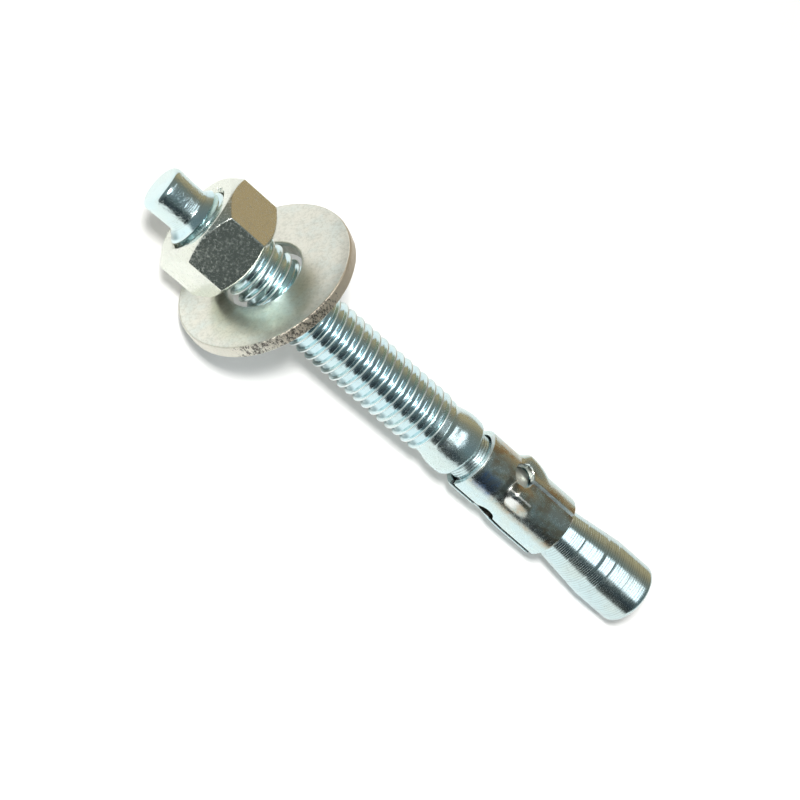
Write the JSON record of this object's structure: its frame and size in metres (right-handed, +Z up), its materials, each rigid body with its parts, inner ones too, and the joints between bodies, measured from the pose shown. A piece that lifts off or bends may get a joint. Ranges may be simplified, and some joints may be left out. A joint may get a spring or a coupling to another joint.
{
  "type": "wedge anchor",
  "caption": "Zinc-plated wedge anchor: threaded stud with a driving point and an expansion cone, slotted expansion clip, hex nut and flat washer, lying at rest.",
  "frame": {"origin": "on the floor, under the middle of the whole anchor's bounding box", "axes": "+X from the nut end to the cone end, +Z up; the bolt's own axis falls 5.4 degrees towards the cone"},
  "size_m": [0.0956, 0.026, 0.0239],
  "materials": {
    "zinc_bolt": "bright zinc plating, faint turning marks",
    "zinc_clip": "bright zinc-plated pressed sheet",
    "zinc_nut": "bright zinc plating, finely pitted",
    "zinc_washer": "matte zinc plating, finely grained"
  },
  "bodies": {
    "stud": {"anchor_bolt": "zinc_bolt"},
    "clip": {"expansion_clip": "zinc_clip"},
    "nut": {"hex_nut": "zinc_nut"},
    "washer": {"flat_washer": "zinc_washer"}
  },
  "joints": [
    {"name": "washer_slide", "type": "slide", "parent": "stud", "child": "washer", "axis": [0.9955, 0, -0.0945], "range_m": [0, 0.033]},
    {"name": "nut_travel", "type": "slide", "parent": "stud", "child": "nut", "axis": [0.9955, 0, -0.0945], "range_m": [-0.0068, 0.0009]},
    {"name": "clip_slide", "type": "slide", "parent": "stud", "child": "clip", "axis": [0.9955, 0, -0.0945], "range_m": [-0.0018, 0.0037]}
  ]
}
